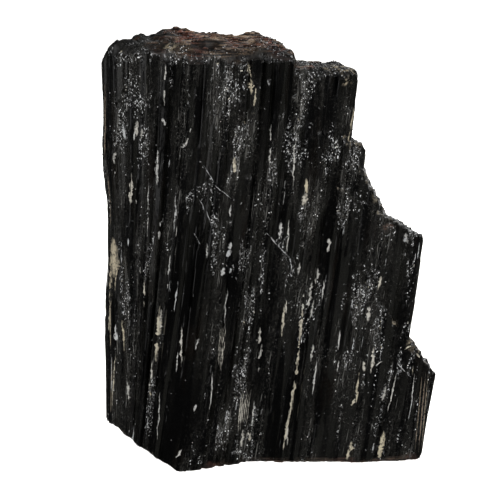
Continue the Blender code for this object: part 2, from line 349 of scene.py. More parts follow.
def breakHeight(column, outline, x, y):
    # the stone snaps rib by rib, so a break is terraced: each splinter ends at its own height
    place = Vector((x, y, column["seed"]))
    splinter = weathering["splinterSize"]
    bent = Vector((x + 0.5 * noise.noise(place / 1.7), y + 0.5 * noise.noise(place / 1.9), column["seed"]))
    stepX = (math.floor(bent.x / splinter) + 0.5) * splinter
    stepped = x + (stepX - x) * weathering["terrace"]
    height = column["top"] + (stepped - column["at"]) * column["riseX"] + y * column["riseY"]
    height += column["humps"] * noise.noise(place / crystal["humpSize"])
    height += column["grit"] * noise.noise(place / crystal["gritSize"])
    height += column["ragged"] * weathering["splinterDepth"] * (noise.cell(bent / splinter) - 0.5)
    height += column["ragged"] * weathering["ridge"] * noise.noise(Vector((x / 9, (y + 0.12 * x) / 3, column["seed"])))
    for hollowX, hollowY, radius, depth in topHollows:
        away = math.hypot((x - hollowX) / 1.2, y - hollowY) / radius
        behind = math.hypot((x - hollowX) / 1.8, y - hollowY - 2.4 * radius) / radius / 1.3
        height += 0.5 * depth * math.exp(-behind * behind) - depth * math.exp(-away ** 4)
    height += column["ragged"] * (0.3 * noise.noise(place / 1.3) + 0.16 * noise.noise(place / 0.6))
    for knobX, knobY, rise, radius in column["knobs"]:
        away = math.hypot(x - knobX, y - knobY) / radius
        height += rise * math.exp(-away * away)
    rim = column["rim"]
    inside = min(max(outline.depthInside(Vector((x, y))), 0.0), rim)
    return height - (rim - math.sqrt(rim * rim - (rim - inside) ** 2)) * 0.7


def heightBlock(low, high, step, heightAt, lid):
    # a closed block between a height field and a flat lid, which lies above or below it
    bm = bmesh.new()
    size = high - low
    bmesh.ops.create_grid(bm, x_segments=round(size.x / step), y_segments=round(size.y / step), size=0.5)
    for vert in bm.verts:
        x = low.x + (vert.co.x + 0.5) * size.x
        y = low.y + (vert.co.y + 0.5) * size.y
        vert.co = (x, y, heightAt(x, y))
    for item in bmesh.ops.extrude_face_region(bm, geom=bm.faces[:])["geom"]:
        if isinstance(item, bmesh.types.BMVert):
            item.co.z = lid
    bmesh.ops.recalc_face_normals(bm, faces=bm.faces)
    return bm


def breakCutter(column, outline):
    margin = crystal["breakMargin"]
    xs = [corner[0] for corner in column["corners"]]
    ys = [corner[1] for corner in column["corners"]]
    low = Vector((min(xs) - margin, min(ys) - margin))
    high = Vector((max(xs) + margin, max(ys) + margin))
    lid = column["top"] + 3 * margin + columnReach(column)
    return heightBlock(low, high, crystal["breakStep"], lambda x, y: breakHeight(column, outline, x, y), lid)


def footHeight(x, y):
    # 0 on the flat break the stone stands on, more under the chips
    height = 0.0
    for corners in footChips:
        first, second, third = (Vector(corner) for corner in corners)
        normal = (second - first).cross(third - first)
        height = max(height, first.z - (normal.x * (x - first.x) + normal.y * (y - first.y)) / normal.z)
    if height == 0:
        return 0.0
    place = Vector((x, y, 3))
    rough = 0.7 * noise.noise(place / 3) + 0.3 * noise.noise(place / 1.1)
    return max(0.0, height + rough * min(1.0, height / 1.5))


def meshObject(name, bm):
    mesh = bpy.data.meshes.new(name)
    bm.to_mesh(mesh)
    bm.free()
    obj = bpy.data.objects.new(name, mesh)
    bpy.context.scene.collection.objects.link(obj)
    return obj


def helper(name, bm):
    bmesh.ops.triangulate(bm, faces=bm.faces)
    return meshObject(name, bm)


def carve(obj, other, operation):
    # applies one Boolean at once and drops the other object
    modifier = obj.modifiers.new(operation, "BOOLEAN")
    modifier.operation = operation
    modifier.solver = "MANIFOLD"
    modifier.object = other
    graph = bpy.context.evaluated_depsgraph_get()
    result = bpy.data.meshes.new_from_object(obj.evaluated_get(graph))
    obj.modifiers.clear()
    obj.data = result
    bpy.data.objects.remove(other)


def joinedColumns():
    stone = None
    for number, column in enumerate(columns):
        outline = Outline(column["corners"])
        body = helper(f"column{number}", columnBody(column, outline))
        carve(body, helper("break", breakCutter(column, outline)), "DIFFERENCE")
        if stone is None:
            stone = body
        else:
            carve(stone, body, "UNION")
        print("column", number, "joined:", len(stone.data.polygons), "faces")
    return stone


def cutStone():
    # the joined stone in mm, leaned and cut off at the foot
    stone = joinedColumns()
    for vert in stone.data.vertices:
        vert.co = leaned(vert.co)
    low, high = Vector((-60, -40)), Vector((60, 40))
    carve(stone, helper("foot", heightBlock(low, high, crystal["footStep"], footHeight, -12)), "DIFFERENCE")
    bm = bmesh.new()
    bm.from_mesh(stone.data)
    bpy.data.objects.remove(stone)
    bmesh.ops.remove_doubles(bm, verts=bm.verts, dist=0.01)
    underside = {face for face in bm.faces if face.normal.z < -0.9999 and face.calc_center_median().z < 0.001}
    # listed in the mesh's own order, so that every run gives the same faces and the same grains
    inner = [edge for edge in bm.edges if edge.is_manifold and underside.issuperset(edge.link_faces)]
    bmesh.ops.dissolve_limit(bm, angle_limit=0.01, edges=inner, verts=[])
    return bm


def paintStone(bm):
    # per-point coordinates along the ribs, and how grainy, rusty and crusted each place is
    straight = bm.verts.layers.float_vector.new("straight")
    wear = bm.verts.layers.float_vector.new("wear")
    # clean: bare black glass at random, and painted shade in the shade patches and the top hollows
    clean = bm.verts.layers.float.new("clean")
    snapped = bm.verts.layers.float.new("snapped")
    for vert in bm.verts:
        spot = upright(vert.co)
        vert[straight] = spot
        vert[clean] = bareGlassAndShadeAt(spot.x, spot.y, spot.z)
        patchy = noise.noise(spot / 6) + 0.5 * noise.noise(spot / 2)
        broken = smoothStep((abs(vert.normal.z) - 0.3) / 0.4)
        grain = max(grainAt(spot.x, spot.y, spot.z), 0.3 * broken)
        vert[snapped] = broken * (1.0 if spot.z > 104 else 0.5)
        if spot.z > 104:
            grain *= 1 - 0.5 * broken
            grain = max(grain, 0.45 * broken * smoothStep((spot.x + 7 + 3 * patchy) / 6))
        rust = smoothStep((vert.normal.z - 0.1) / 0.5) * smoothStep((spot.z - 108.5 + patchy) / 4)
        rust *= smoothStep((spot.x + 31 + 9 * patchy) / 12) * smoothStep((9 - spot.x + 9 * patchy) / 12)
        rust *= 1 - 0.5 * smoothStep((-11 - spot.y + 2 * patchy) / 4)
        if spot.x > 8:
            rust = 0.8 * smoothStep((spot.z - 106.2 + 2 * patchy) / 1.2) * smoothStep((20 - spot.x + 3 * patchy) / 4)
        # painted shade in the top hollows: their rust and grains are taken out and the glass is set to clean black
        for hollowX, hollowY, radius, _ in topHollows:
            away = math.hypot((spot.x - hollowX) / 1.2, spot.y - hollowY - 0.3 * radius) / radius / 1.35
            inside = math.exp(-away ** 4) if spot.z > 104 else 0.0
            rust *= 1 - 0.95 * inside
            vert[clean] = max(vert[clean], inside)
            grain *= 1 - inside
        rust = max(rust, 0.35 * smoothStep((1.2 + 2.2 * patchy - spot.z) / 1.6))
        crust = broken * smoothStep(1.6 * patchy + 0.2) if spot.z > 3 and (spot.x > 7 or spot.z < 104) else 0.0
        if spot.z > 104:
            crust = max(crust, broken * max(nearness(spot.x, spot.y, patch) for patch in topCrusts))
        elif spot.y < 0:
            crust = max(crust, 0.9 * max(nearness(spot.x, spot.z, patch) for patch in sideCrusts))
            rust = max(rust, 0.6 * max(nearness(spot.x, spot.z, patch) for patch in sideRusts))
        vert[wear] = (grain, rust, crust)


def grainSites(bm):
    # places for loose grains, more of them where the stone is broken: (place, normal, how broken)
    pick = random.Random(3)
    wear = bm.verts.layers.float_vector["wear"]
    sites = []
    for face in bm.faces:
        middle = face.calc_center_median()
        grain = face.verts[0][wear].x
        if middle.z > 1.2 and grain > 0.4 and pick.random() < face.calc_area() * grain * weathering["grainsPerArea"]:
            sites.append((middle, face.normal.copy(), grain))
    return sites


def finishStone(bm):
    bmesh.ops.triangulate(bm, faces=bm.faces)
    bmesh.ops.recalc_face_normals(bm, faces=bm.faces)
    bm.normal_update()
    paintStone(bm)
    surface = BVHTree.FromBMesh(bm)
    sites = grainSites(bm)
    bmesh.ops.scale(bm, vec=(mm, mm, mm), verts=bm.verts)
    body = meshObject("crystalBody", bm)
    body.data.shade_smooth()
    body.data.set_sharp_from_angle(angle=math.radians(38))
    return body, surface, sites


def linear(code):
    channels = [int(code[place:place + 2], 16) / 255 for place in (1, 3, 5)]
    return [value / 12.92 if value <= 0.04045 else ((value + 0.055) / 1.055) ** 2.4 for value in channels] + [1.0]


def addNode(tree, kind, settings=None, links=None):
    # settings name properties or sockets, links name sockets; a socket may go by its number
    node = tree.nodes.new(kind)
    for key, value in (settings or {}).items():
        if isinstance(key, int) or key in node.inputs:
            node.inputs[key].default_value = value
        else:
            setattr(node, key, value)
    for key, source in (links or {}).items():
        tree.links.new(source, node.inputs[key])
    return node


# Natural schorl, grown and broken but never polished: its ribs are black glass with fine lines
# along them, its broken bands glitter from tilted facets with painted glints among pale grains, iron has stained the
# top brown, and painted shade darkens some places.
schorlFinish = {
    "black": "#020202", "rust": "#170e0c", "rustRed": "#845547", "rustPale": "#ac937a", "crust": "#a89c86",
    "ior": 1.63, "ribRoughness": 0.25, "grainRoughness": 0.2, "rustRoughness": 0.75, "dullSheen": 0.1,
    # noise drawn out along the ribs: width and length in mm, detail, how much it keeps to the worn
    # places and away from painted shade, where it starts and is full, colour
    "patterns": {
        "slate": (3.4, 60, 1, 0.2, 0.54, 0.84, "#121210"),
        "umber": (7, 22, 3, 0, 0.55, 0.75, "#0e0a07"),
        "mottle": (0.5, 1.1, 4, 0.4, 0.66, 1.02, "#22211e"),
        "pale": (1.5, 80, 0, 0.1, 0.6, 0.64, "#131311"),
        "deep": (2.1, 45, 0, 0, 0.56, 0.6, "#020202"),
        "dust": (0.34, 0.5, 3, 0.5, 0.84, 1.0, "#3a3936"),
        "lines": (0.42, 30, 2, 0.5, 0.86, 1.02, "#262523"),
        "hairs": (0.32, 7, 1, 0.6, 1.0, 1.12, "#5b5a57"),
    },
    # the second entry: how much bare glass and painted shade, from the clean attribute, hold the worn patterns back and
    # so darken the stone; the last: their roughness
    "wornSize": (4.6, 24), "bareAndShadeDarkening": -0.5, "grainWear": 0.12, "bareAndShadeRoughness": 0.12,
    "rustSize": (7, 3.5, 0.4), "rustTurn": 0.12, "rustGrit": 0.42,  # iron stain lies in thin layers across the top
    "crustShare": 0.85,
    "lineBump": 0.05, "mottleBump": 0.07,  # mm
    # pale grains and painted glints: width and length in mm, how far they lean, the share of cells outside broken
    # bands, more inside them, colour
    "paleGrainsAndGlints": [
        (0.3, 0.34, 0, 0.004, 0.22, "#f2f3f4"),
        (0.25, 0.9, 0.5, 0.004, 0.07, "#e4e6e8"),
        (0.25, 0.8, -0.7, 0.004, 0.07, "#e4e6e8"),
        (0.38, 1.0, 0.1, 0.003, 0.04, "#d8dadc"),
        (0.32, 2.6, 0, 0.006, 0.05, "#b2b3b4"),
    ],
    "grainAndGlintFade": (3.6, 2.2),  # most are dim pale grains, a few are bright painted glints, and more so in broken bands
    "speckWarp": 0.2, "warpSize": 0.32,  # mm
    "glitterSize": 0.32, "glitterTilt": 1.5,
}


def schorl():
    finish = schorlFinish
    material = bpy.data.materials.new("naturalSchorl")
    material.use_nodes = True
    tree = material.node_tree
    shader = tree.nodes["Principled BSDF"]
    shader.inputs["IOR"].default_value = finish["ior"]
    along = addNode(tree, "ShaderNodeAttribute", {"attribute_name": "straight"}).outputs["Vector"]
    wear = addNode(tree, "ShaderNodeAttribute", {"attribute_name": "wear"}).outputs["Vector"]
    # clean holds bare glass and painted shade: it darkens the patterns, hides the pale grains, flattens the bump and
    # lowers the roughness
    clean = addNode(tree, "ShaderNodeAttribute", {"attribute_name": "clean"}).outputs["Fac"]
    snapped = addNode(tree, "ShaderNodeAttribute", {"attribute_name": "snapped"}).outputs["Fac"]
    masks = addNode(tree, "ShaderNodeSeparateXYZ", None, {"Vector": wear})
    ragged = addNode(tree, "ShaderNodeTexNoise", {"Scale": 1 / 1.4, "Detail": 3}, {"Vector": along}).outputs["Fac"]
    grainSum = addNode(tree, "ShaderNodeMath", {"operation": "ADD"}, {0: masks.outputs["X"], 1: ragged})
    grain = addNode(tree, "ShaderNodeMapRange", {"From Min": 0.6, "From Max": 1.1},
                    {"Value": grainSum.outputs["Value"]}).outputs["Result"]
    width, length = finish["wornSize"]
    space = addNode(tree, "ShaderNodeMapping", {"Scale": (1 / width, 1 / width, 1 / length)}, {"Vector": along})
    drift = addNode(tree, "ShaderNodeTexNoise", {"Scale": 1, "Detail": 2}, {"Vector": space.outputs["Vector"]})
    wornLessShade = addNode(tree, "ShaderNodeMath", {"operation": "MULTIPLY_ADD", 1: finish["bareAndShadeDarkening"]},
                   {0: clean, 2: drift.outputs["Fac"]}).outputs["Value"]
    wornLessShade = addNode(tree, "ShaderNodeMath", {"operation": "MULTIPLY_ADD", 1: finish["grainWear"]},
                   {0: grain, 2: wornLessShade}).outputs["Value"]

    colour = addNode(tree, "ShaderNodeRGB").outputs["Color"]
    colour.default_value = linear(finish["black"])
    noises = {}
    for number, (name, pattern) in enumerate(finish["patterns"].items()):
        width, length, detail, keep, start, full, shade = pattern
        space = addNode(tree, "ShaderNodeMapping",
                        {"Location": (number * 31, 0, 0), "Scale": (1 / width, 1 / width, 1 / length)},
                        {"Vector": along})
        noises[name] = addNode(tree, "ShaderNodeTexNoise", {"Scale": 1, "Detail": detail},
                               {"Vector": space.outputs["Vector"]}).outputs["Fac"]
        kept = addNode(tree, "ShaderNodeMath", {"operation": "MULTIPLY_ADD", 1: keep}, {0: wornLessShade, 2: noises[name]})
        mask = addNode(tree, "ShaderNodeMapRange", {"From Min": start, "From Max": full},
                       {"Value": kept.outputs["Value"]})
        colour = addNode(tree, "ShaderNodeMix", {"data_type": "RGBA", 7: linear(shade)},
                         {0: mask.outputs["Result"], 6: colour}).outputs[2]

    space = addNode(tree, "ShaderNodeMapping",
                    {"Rotation": (0, 0, finish["rustTurn"]), "Scale": [1 / size for size in finish["rustSize"]]},
                    {"Vector": along})
    layers = addNode(tree, "ShaderNodeTexNoise", {"Scale": 1, "Detail": 4}, {"Vector": space.outputs["Vector"]})
    rustMask = addNode(tree, "ShaderNodeMapRange", {"From Min": 0.42, "From Max": 0.62},
                       {"Value": layers.outputs["Fac"]})
    warmth = addNode(tree, "ShaderNodeTexNoise", {"Scale": 1 / 7, "Detail": 2}, {"Vector": along})
    warmthMask = addNode(tree, "ShaderNodeMapRange", {"From Min": 0.42, "From Max": 0.6},
                         {"Value": warmth.outputs["Fac"]})
    bright = addNode(tree, "ShaderNodeMix",
                     {"data_type": "RGBA", 6: linear(finish["rustRed"]), 7: linear(finish["rustPale"])},
                     {0: warmthMask.outputs["Result"]})
    grit = addNode(tree, "ShaderNodeTexNoise", {"Scale": 1 / finish["rustGrit"], "Detail": 2}, {"Vector": along})
    gritMask = addNode(tree, "ShaderNodeMapRange", {"From Min": 0.34, "From Max": 0.5},
                       {"Value": grit.outputs["Fac"]})
    rustShare = addNode(tree, "ShaderNodeMath", {"operation": "MULTIPLY"},
                        {0: rustMask.outputs["Result"], 1: gritMask.outputs["Result"]})
    rustTone = addNode(tree, "ShaderNodeMix", {"data_type": "RGBA", 6: linear(finish["rust"])},
                       {0: rustShare.outputs["Value"], 7: bright.outputs[2]})
    colour = addNode(tree, "ShaderNodeMix", {"data_type": "RGBA"},
                     {0: masks.outputs["Y"], 6: colour, 7: rustTone.outputs[2]}).outputs[2]
    crusted = addNode(tree, "ShaderNodeMapRange", {"From Min": 0.5, "From Max": 0.62, "To Max": finish["crustShare"]},
                      {"Value": ragged})
    crust = addNode(tree, "ShaderNodeMath", {"operation": "MULTIPLY"},
                    {0: crusted.outputs["Result"], 1: masks.outputs["Z"]})
    colour = addNode(tree, "ShaderNodeMix", {"data_type": "RGBA", 7: linear(finish["crust"])},
                     {0: crust.outputs["Value"], 6: colour}).outputs[2]

    stir = addNode(tree, "ShaderNodeTexNoise", {"Scale": 1 / finish["warpSize"], "Detail": 1}, {"Vector": along})
    warped = addNode(tree, "ShaderNodeVectorMath", {"operation": "MULTIPLY_ADD", 1: [finish["speckWarp"]] * 3},
                     {0: stir.outputs["Color"], 2: along}).outputs["Vector"]
    dusty = addNode(tree, "ShaderNodeMapRange", {"From Min": 0.5, "From Max": 0.72, "To Max": 0.3}, {"Value": wornLessShade})
    littered = addNode(tree, "ShaderNodeMath", {"operation": "ADD"},
                       {0: grain, 1: dusty.outputs["Result"]}).outputs["Value"]
    shown = addNode(tree, "ShaderNodeMapRange", {"To Min": 1.0, "To Max": 0.3}, {"Value": clean}).outputs["Result"]
    fade = addNode(tree, "ShaderNodeMapRange", {"To Min": finish["grainAndGlintFade"][0], "To Max": finish["grainAndGlintFade"][1]},
                   {"Value": grain}).outputs["Result"]
    # pale grains, with painted glints where they are brightest
    for width, length, lean, share, more, shade in finish["paleGrainsAndGlints"]:
        leaning = addNode(tree, "ShaderNodeMapping", {"Rotation": (0, lean, 0)}, {"Vector": warped})
        space = addNode(tree, "ShaderNodeMapping", {"Scale": (1 / width, 1 / width, 1 / length)},
                        {"Vector": leaning.outputs["Vector"]})
        cells = addNode(tree, "ShaderNodeTexVoronoi", {"Scale": 1}, {"Vector": space.outputs["Vector"]})
        parts = addNode(tree, "ShaderNodeSeparateColor", None, {"Color": cells.outputs["Color"]})
        lot = addNode(tree, "ShaderNodeMath", {"operation": "MULTIPLY_ADD", 1: more},
                      {0: littered, 2: parts.outputs["Red"]})
        chosen = addNode(tree, "ShaderNodeMapRange", {"From Min": 1 - share, "From Max": 1.02 - share},
                         {"Value": lot.outputs["Value"]})
        inside = addNode(tree, "ShaderNodeMapRange", {"From Min": 0.6, "From Max": 0.4},
                         {"Value": cells.outputs["Distance"], "To Max": shown})
        spot = addNode(tree, "ShaderNodeMath", {"operation": "MULTIPLY"},
                       {0: chosen.outputs["Result"], 1: inside.outputs["Result"]})
        bright = addNode(tree, "ShaderNodeMath", {"operation": "POWER"}, {0: parts.outputs["Green"], 1: fade})
        strength = addNode(tree, "ShaderNodeMath", {"operation": "MULTIPLY"},
                           {0: spot.outputs["Value"], 1: bright.outputs["Value"]})
        colour = addNode(tree, "ShaderNodeMix", {"data_type": "RGBA", 7: linear(shade)},
                         {0: strength.outputs["Value"], 6: colour}).outputs[2]
    tree.links.new(colour, shader.inputs["Base Color"])

    size = finish["glitterSize"]
    cellSpace = addNode(tree, "ShaderNodeMapping", {"Scale": (1 / size, 1 / size, 0.6 / size)}, {"Vector": along})
    facets = addNode(tree, "ShaderNodeTexVoronoi", {"Scale": 1}, {"Vector": cellSpace.outputs["Vector"]})
    tilt = addNode(tree, "ShaderNodeVectorMath", {"operation": "SUBTRACT", 1: (0.5, 0.5, 0.5)},
                   {0: facets.outputs["Color"]})
    amount = addNode(tree, "ShaderNodeMath", {"operation": "MULTIPLY", 1: finish["glitterTilt"]}, {0: grain})
    tilted = addNode(tree, "ShaderNodeVectorMath", {"operation": "SCALE"},
                     {0: tilt.outputs["Vector"], "Scale": amount.outputs["Value"]})
    pits = addNode(tree, "ShaderNodeMapRange", {"To Min": 1.0, "To Max": 0.1}, {"Value": clean})
    pitted = addNode(tree, "ShaderNodeBump", {"Distance": finish["mottleBump"] * mm},
                     {"Height": noises["mottle"], "Strength": pits.outputs["Result"]})
    bump = addNode(tree, "ShaderNodeBump", {"Distance": finish["lineBump"] * mm, "Strength": 1.0},
                   {"Height": noises["lines"], "Normal": pitted.outputs["Normal"]})
    facing = addNode(tree, "ShaderNodeVectorMath", {"operation": "ADD"},
                     {0: bump.outputs["Normal"], 1: tilted.outputs["Vector"]})
    normal = addNode(tree, "ShaderNodeVectorMath", {"operation": "NORMALIZE"}, {0: facing.outputs["Vector"]})
    tree.links.new(normal.outputs["Vector"], shader.inputs["Normal"])

    gloss = addNode(tree, "ShaderNodeMix", {"data_type": "FLOAT", 2: finish["ribRoughness"],
                                            3: finish["bareAndShadeRoughness"]}, {0: clean}).outputs[0]
    gloss = addNode(tree, "ShaderNodeMix", {"data_type": "FLOAT", 3: finish["grainRoughness"]},
                    {0: grain, 2: gloss}).outputs[0]
    dull = addNode(tree, "ShaderNodeMath", {"operation": "MAXIMUM"}, {0: masks.outputs["Y"], 1: snapped})
    gloss = addNode(tree, "ShaderNodeMix", {"data_type": "FLOAT", 3: finish["rustRoughness"]},
                    {0: dull.outputs["Value"], 2: gloss}).outputs[0]
    tree.links.new(gloss, shader.inputs["Roughness"])
    sheen = addNode(tree, "ShaderNodeMapRange", {"To Min": 0.5, "To Max": finish["dullSheen"]},
                    {"Value": dull.outputs["Value"]})
    tree.links.new(sheen.outputs["Result"], shader.inputs["Specular IOR Level"])
    return material


def buildCrystal():
    body, surface, sites = finishStone(cutStone())
    body.data.materials.append(schorl())
    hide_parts("tourmaline_crystal")
    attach(body, "root")
    print("crystal body:", len(body.data.polygons), "triangles")
    return body, surface, sites


body, surface, sites = buildCrystal()


# Pale feldspar and mica in the cracks, as (x and z of the top, x and z of the foot, width, and
# tone from 0, grey, over 1, cream, to 2, ochre), in mm, seen from the front; the grey ones are partly painted
# highlights on rib edges and ledges.
seams = {
    "slivers": [
        (-6.1, 109.3, -5, 105.1, 0.9, 0.9), (-5.3, 105.1, -4.8, 100.7, 1.4, 1),
        (-3.8, 102.5, -4.3, 95.7, 0.8, 0.9), (-27, 108.7, -27.5, 97.8, 0.5, 0.3),
        (-9.2, 84.8, -9.4, 79.8, 1.5, 0.8), (9.4, 77.8, 9.7, 73.5, 1.4, 1),
        (9.5, 73.8, 8.7, 70.3, 1.5, 0.6), (6.5, 89.6, 6, 75.8, 0.5, 0.3),
        (0.2, 92.7, -0.3, 81.2, 0.5, 0.3), (-38.6, 92.3, -38.2, 87.9, 1.2, 0),
        (-34.7, 93.3, -35, 89.1, 1.3, 0.4), (-40.7, 87, -41.1, 81.1, 0.9, 0.3),
        (-41, 79.2, -41, 76.2, 0.7, 0.3), (-36.2, 79.6, -36.8, 71, 1.2, 0.5),
        (-35.4, 75.6, -35.2, 71.3, 0.6, 0.3), (-20.5, 92.3, -22.1, 87.3, 0.9, 0.3),
        (-10.3, 61.8, -10.5, 59.6, 1, 0.1), (-37.4, 97.8, -37.4, 95.4, 0.5, 0.2),
        (-16.5, 62, -16.5, 57.9, 0.5, 0.2), (-10.2, 72.1, -10.5, 68.9, 0.6, 0.2),
        (-14.4, 77.6, -10.2, 73.7, 0.3, 0), (-17.2, 76.1, -15.1, 73.1, 0.2, 0), (-18.5, 73.8, -17, 70.4, 0.2, 0),
        (-16.5, 70.7, -15.2, 66.3, 0.2, 0), (-19.9, 64.8, -18.3, 61.7, 0.22, 0), (-17.4, 82.7, -14.1, 77.6, 0.2, 0),
        (-1.1, 63.8, 2.1, 59.7, 0.35, 0), (2.1, 59.7, 5.3, 56.4, 0.35, 0), (5.3, 56.4, 5.8, 52.6, 0.3, 0),
        (-43.6, 102, -43.8, 82, 0.5, 1.8), (-43, 78, -42.6, 63, 0.6, 1.8), (-42.6, 44, -43, 30, 0.9, 1.4),
        (-42.4, 28, -43.2, 12, 0.6, 1.6), (-41.8, 61, -41.8, 50, 5.6, 1.2), (-42.6, 58, -43.2, 44, 1.8, 1.3),
        (-40.8, 56, -41.4, 46, 1.1, 1.2), (-43, 46, -43.4, 34.4, 0.9, 0.9),
        (-41.2, 37.6, -41.6, 30.4, 1.3, 0.1), (-39.5, 39.1, -39, 30.8, 1.3, 0.95),
        (-29, 44.9, -30.2, 29.6, 1.7, 0.8), (-28.7, 44.1, -29, 37, 0.8, 0.4),
        (-31, 30.2, -32.1, 21.7, 0.5, 0.4), (-23.2, 40.2, -23.5, 28.7, 0.6, 0.4),
        (-12.1, 41.6, -13.5, 25.5, 0.8, 0.5), (-11.3, 49.6, -12.2, 38.3, 0.4, 0.2),
        (-6.1, 21.5, -7.7, 7.6, 1.6, 0.5), (-7.2, 9.6, -7.5, 4.4, 0.8, 0.4),
        (-5.8, 8.6, -5.3, 5.6, 0.9, 0.5), (9, 46.8, 8.5, 42.1, 1, 0.4),
        (11.2, 50.2, 10.1, 42.5, 0.8, 0.3), (8.6, 42.4, 8, 33, 1.2, 0.73), (8.1, 36, 7.1, 26, 0.8, 0.76), (7.9, 31.5, 7.1, 25, 1, 0.75),
        (7.5, 28.5, 6.2, 17, 1.1, 0.8), (6.7, 23, 5.2, 11.5, 1, 0.78), (6, 17, 4.6, 9, 0.7, 0.74),
        (5.4, 15, 3.6, 3.6, 1, 0.73),
        (4.9, 12.6, 4.7, 4.5, 0.5, 0.4), (3.8, 43.2, 3.2, 34.8, 1, 0.73), (4.5, 45, 4.2, 41, 0.5, 0.5),
        (23.9, 25.3, 23.2, 16.4, 1, 0.9), (22.9, 18, 22.1, 15.8, 1, 0.8),
        (26.4, 43.3, 26.1, 39, 1.1, 0.4), (34, 25, 31.8, 14.1, 0.45, 0.3),
        # the grey sliver at x 35.9, z 61.8 is a painted highlight on the ledge
        (38.9, 24.4, 38, 15.4, 0.3, 0.2), (35.9, 61.8, 35.9, 60.4, 1.2, 0), (34.2, 27.6, 36.4, 25, 0.4, 0.1), (27.8, 32.5, 27.1, 24.8, 0.9, 0.5),
        (30.8, 8.8, 29.6, 0.6, 2, 1), (22.2, 6, 20.9, 0.6, 1.6, 0.9),
        (24.9, 28.3, 25.2, 25.3, 0.8, 0.5), (28.4, 27, 30, 28.3, 0.8, 0.3),
        (11.7, 45, 10.7, 39.5, 0.5, 0.3), (11.5, 32.9, 11, 28, 0.6, 0.3),
        (12.6, 28.5, 11.4, 18.5, 0.5, 0.2), (18.5, 28.4, 18, 25, 0.4, 0.2),
        (5, 66.7, 4.5, 58.1, 0.5, 0.3), (2.9, 66.2, 2.6, 61.3, 1, 0.2),
        (15.6, 61.9, 15.3, 58.1, 1, 0.3), (-2.6, 37.6, -2.9, 33.1, 0.8, 0.4),
        (-2.1, 33.1, -3.2, 25.4, 0.7, 0.3), (-6.1, 34.9, -6.4, 31.6, 0.8, 0.3),
        (-4.2, 17.6, -4.8, 9, 0.4, 0.2), (-24.3, 32.9, -24.8, 27.4, 0.4, 0.2),
        (-15.1, 27.3, -15.9, 16.7, 0.4, 0.2), (-25.9, 61, -27.1, 49.3, 0.4, 0.2),
        (-31.7, 78, -32.3, 62.1, 0.3, 0.2), (12.7, 53.7, 12.2, 49.3, 0.7, 0.3),
        (8, 55.3, 7.4, 51.5, 0.7, 0.3), (29.5, 51.5, 28.7, 47.7, 0.9, 0.6),
        (37.7, 32.4, 35.9, 31.1, 1, 0.8), (40.2, 28.7, 39.3, 30.2, 0.8, 0.7),
        (-29.1, 21.8, -30, 8.6, 0.3, 0.2), (-41.3, 29.9, -42.8, 12.9, 0.5, 0.8),
        (-38.2, 23.4, -37.7, 17.9, 0.8, 0.3), (-18.7, 36.8, -19.8, 33.4, 0.5, 0.2),
        (-19.6, 18.6, -20.1, 16.5, 0.8, 0.2), (-23.4, 6.3, -25, 3.8, 0.8, 0.3),
        (42.6, 24.5, 41.3, 2.4, 0.35, 1.6), (41.9, 24.8, 40.4, 2, 0.55, 1.85),
        (41, 24.6, 39.4, 2.2, 0.3, 1.7), (21.7, 96.5, 21.1, 90, 0.8, 1.1), (21.1, 90.4, 20.6, 84.6, 0.5, 1.2), (-24.5, 74.6, -25.1, 64.9, 0.4, 0.1),
        (-29.2, 86.2, -29.7, 79.6, 0.7, 0.2), (-27.8, 94.7, -27.3, 92.6, 0.9, 0.2),
        (-29.5, 83, -29.5, 77, 0.8, 0.2), (-28.8, 67.3, -29.1, 62.4, 0.7, 0.2),
        (36, 63, 36.5, 60.2, 0.8, 0.2), (31.2, 21.2, 30.2, 16.8, 0.8, 0.3),
        (18.7, 36.7, 18.2, 31.2, 0.5, 0.2), (14.3, 50.5, 13.8, 45, 0.5, 0.2),
        (-10.7, 60, -10.9, 58, 1.4, 0), (-12.2, 55.6, -12.6, 53.2, 1.2, 0.1), (-10.4, 55, -10.7, 53.6, 0.8, 0),
        (-35.4, 90.8, -35.6, 88, 0.5, 0.2), (-33.4, 91.5, -33.6, 88.6, 0.6, 0.3), (-21.6, 88.6, -22.8, 86.8, 0.9, 0.2),
    ],
    "lift": 0.08, "sink": 0.22, "thickness": 0.3, "step": 0.4,  # mm
    "edgeSize": (1.4, 0.45), "edgeDepth": (0.8, 0.8), "drift": 0.32, "driftSize": 2.9,
    "strandWidth": 0.42, "solidTone": 0.72, "widen": 1.35, "bundled": 10,
    "gapSize": 3.6, "gapStart": -0.34, "gapEase": 0.2, "shortest": 2.6, "tallestStep": 2.4,
    "randomCount": 480, "randomLength": (1.2, 12), "randomWidth": (0.2, 1.2),
    # the grey is partly a painted highlight
    "cream": "#b3a991", "grey": "#abadaf", "ochre": "#5f4d40", "stain": "#2d2921", "black": "#0b0a09",
    "roughness": 0.55,
    "streakSize": (0.26, 1.8), "streaks": (0.6, 1.0), "coreShare": 0.64,
}


def castFrom(spot, direction, reach=200):
    place, normal, _, _ = surface.ray_cast(spot, direction, reach)
    return place, normal


